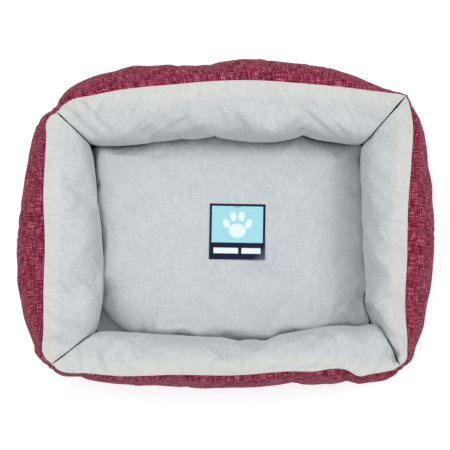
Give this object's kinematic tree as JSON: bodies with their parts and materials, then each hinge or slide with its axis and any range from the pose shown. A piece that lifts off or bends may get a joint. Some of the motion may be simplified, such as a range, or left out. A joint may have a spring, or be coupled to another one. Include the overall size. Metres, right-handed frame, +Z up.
{
  "type": "pet cushion bed",
  "caption": "Rectangular soft pet bed with stuffed walls pinched at the corners, plush lining, a loose crowned cushion and a square tag that lifts.",
  "frame": {"origin": "under the middle of the bed's outer box, on the surface it stands on", "axes": "+X along the long side, +Y from the front wall towards the back wall, +Z up"},
  "size_m": [0.6, 0.46, 0.15],
  "materials": {
    "outer_fabric": "matte",
    "plush": "matte",
    "fibre": "matte",
    "base_cloth": "matte",
    "thread": "satin",
    "card": "gloss",
    "clear_nylon": "gloss"
  },
  "bodies": {
    "bed_shell": {"outer_cover_back": "outer_fabric", "outer_cover_front": "outer_fabric", "lining_back": "plush", "lining_front": "plush", "bolster_fill_back": "fibre", "bolster_fill_right": "fibre", "bolster_fill_front": "fibre", "bolster_fill_left": "fibre", "corner_stitch_back_left": "thread", "corner_stitch_back_right": "thread", "corner_stitch_front_right": "thread", "corner_stitch_front_left": "thread", "base_panel": "base_cloth", "floor_panel": "plush"},
    "cushion": {"cushion_top_panel": "plush", "cushion_bottom_panel": "plush", "cushion_fill": "fibre"},
    "label": {"label_card": "card", "label_fastener": "clear_nylon"}
  },
  "joints": [
    {"name": "cushion_lift", "type": "slide", "parent": "bed_shell", "child": "cushion", "axis": [0, 0, 1], "range_m": [0, 0.2]},
    {"name": "label_flap", "type": "hinge", "parent": "cushion", "child": "label", "pos_m": [0.0175, 0.031, 0.0631], "axis": [-1, 0, 0], "range_deg": [0, 100]}
  ]
}
